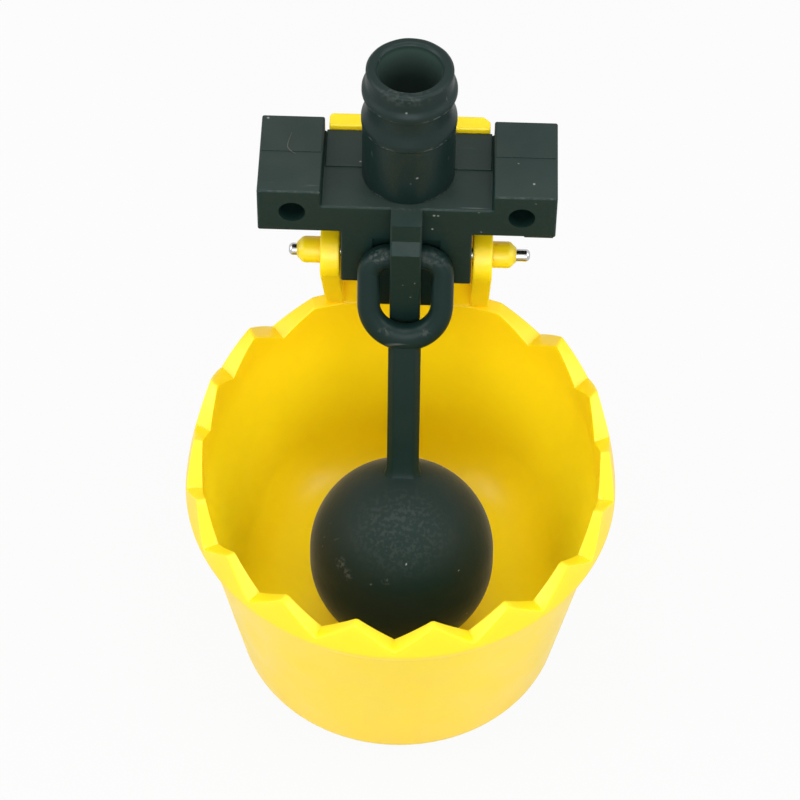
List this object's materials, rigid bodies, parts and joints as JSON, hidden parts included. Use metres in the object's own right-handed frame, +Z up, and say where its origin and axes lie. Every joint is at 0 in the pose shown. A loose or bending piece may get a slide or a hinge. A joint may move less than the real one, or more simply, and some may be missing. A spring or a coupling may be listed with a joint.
{
  "type": "poultry drinking bowl",
  "caption": "Small self-filling bird drinker: a toothed cup hung on a pin under a float valve with a barbed hose tail.",
  "frame": {"origin": "where the round cup's axis meets the plane of its flat base", "axes": "+Z up along the cup's axis towards the hose tail, +Y towards the wall behind the back plate, +X to the right seen from the front"},
  "size_m": [0.0706, 0.0718, 0.1094],
  "materials": {
    "yellow_plastic": "glossy injection-moulded plastic",
    "black_plastic": "satin black moulded plastic",
    "float_plastic": "satin black blown plastic",
    "steel": "bright drawn steel",
    "rubber": "soft black rubber"
  },
  "bodies": {
    "valve": {"valve_body": "black_plastic", "hose_tail": "black_plastic", "seat_washer": "rubber", "hinge_pin": "steel"},
    "cup": {"cup": "yellow_plastic"},
    "float": {"float_arm": "black_plastic", "float_ball": "float_plastic"},
    "poppet": {"valve_pin": "steel"}
  },
  "joints": [
    {"name": "cup_tilt", "type": "hinge", "parent": "valve", "child": "cup", "pos_m": [0, 0.0214, 0.0717], "axis": [1, 0, 0], "range_deg": [-10, 0]},
    {"name": "float_swing", "type": "hinge", "parent": "valve", "child": "float", "pos_m": [0, 0.01545, 0.0772], "axis": [1, 0, 0], "range_deg": [-9, 0]},
    {"name": "valve_lift", "type": "slide", "parent": "valve", "child": "poppet", "axis": [0, 0, 1], "range_m": [-0.00148, 0]}
  ],
  "couplings": [
    {"joint": "valve_lift", "follows": "float_swing", "m_per_rad": 0.00935}
  ]
}
